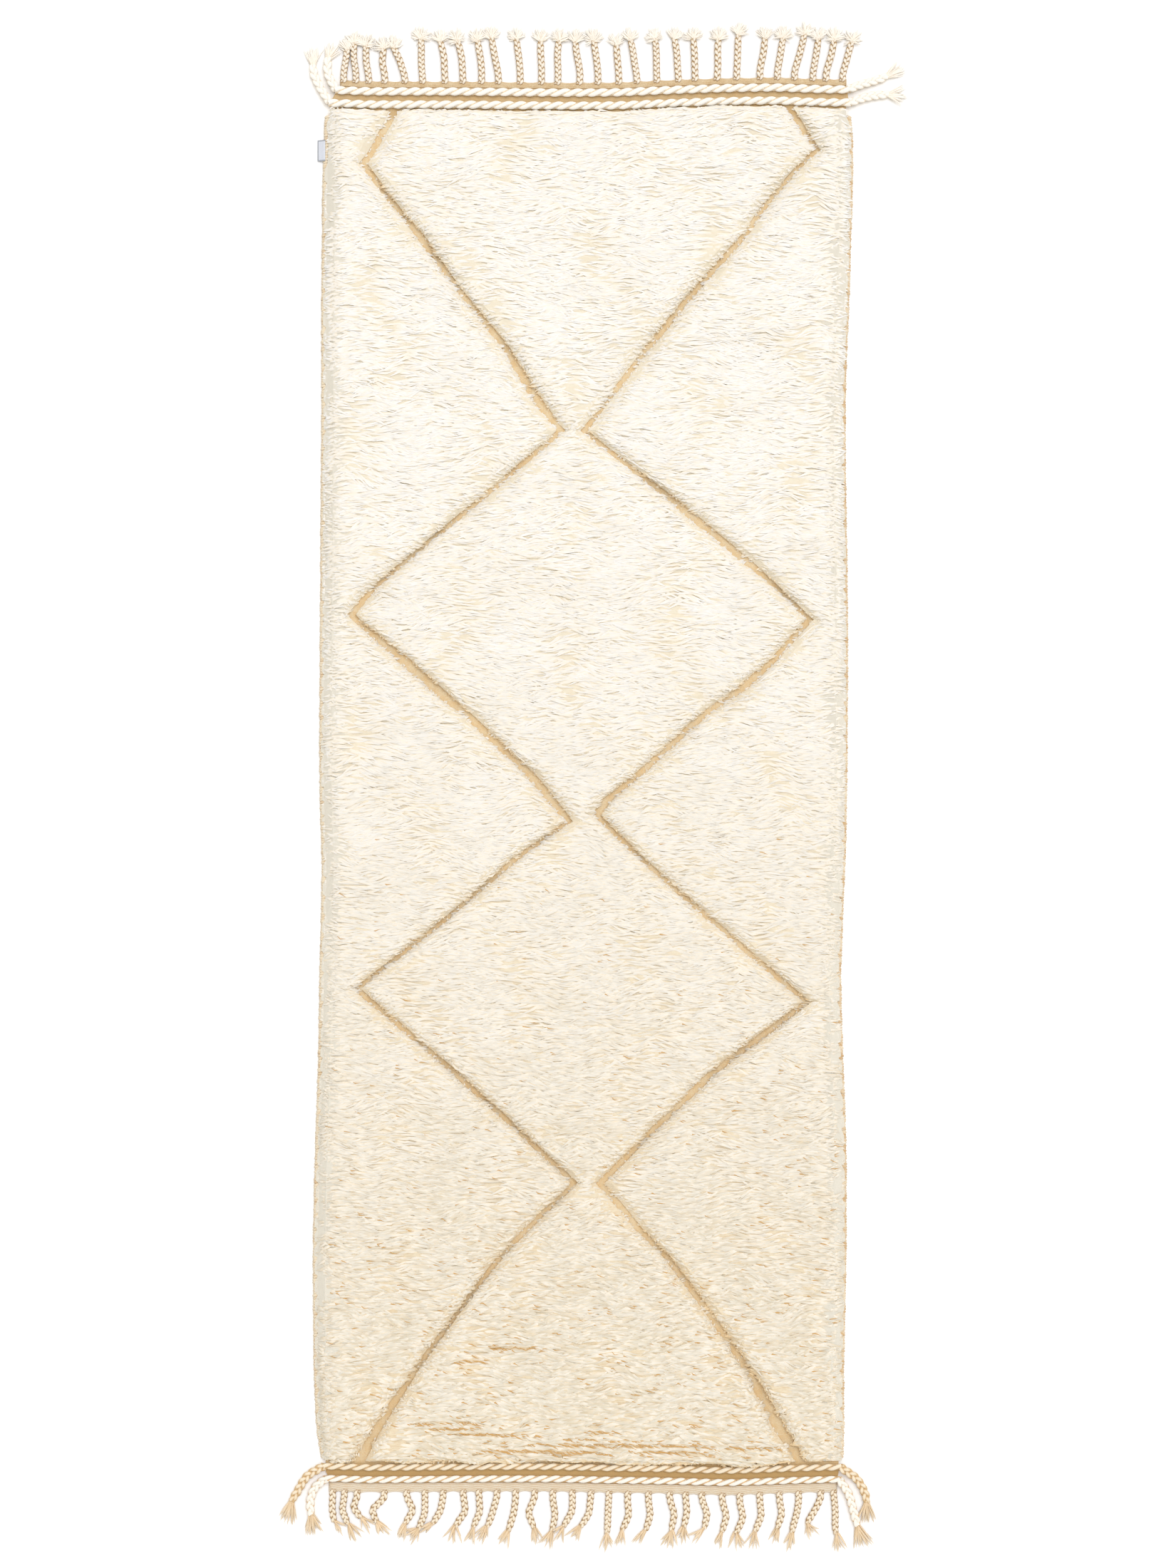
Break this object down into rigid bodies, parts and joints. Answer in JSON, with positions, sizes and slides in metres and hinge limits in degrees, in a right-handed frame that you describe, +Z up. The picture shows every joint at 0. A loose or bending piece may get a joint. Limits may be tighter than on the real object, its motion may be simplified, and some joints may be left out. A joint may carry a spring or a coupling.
{
  "type": "beni ourain rug",
  "caption": "Long cream wool runner with combed pile, bare zigzag lines that form diamonds, overcast sides, chain-stitched end cords and plaited fringe.",
  "frame": {"origin": "middle of the rug's flat underside, on the surface it lies on", "axes": "+Y along the rug's length towards the end beside the label, +X across it to the right as seen from above, +Z up out of the pile"},
  "size_m": [0.9533, 2.3372, 0.0283],
  "materials": {
    "pile_wool": "soft lustrous combed wool pile",
    "flat_weave": "matt flat-woven wool",
    "selvedge_wool": "overcast wool yarn",
    "cord_wool": "thick chain-stitched wool",
    "fringe_wool": "plaited wool with loose brush ends",
    "label_weave": "smooth woven tape"
  },
  "bodies": {
    "root": {"pile_field": "pile_wool", "selvedge_left": "selvedge_wool", "selvedge_right": "selvedge_wool", "cord_upper_outer": "cord_wool", "cord_upper_inner": "cord_wool", "cord_lower_inner": "cord_wool", "cord_lower_outer": "cord_wool", "fringe_upper": "fringe_wool", "fringe_lower": "fringe_wool", "edge_label": "label_weave"}
  },
  "joints": []
}
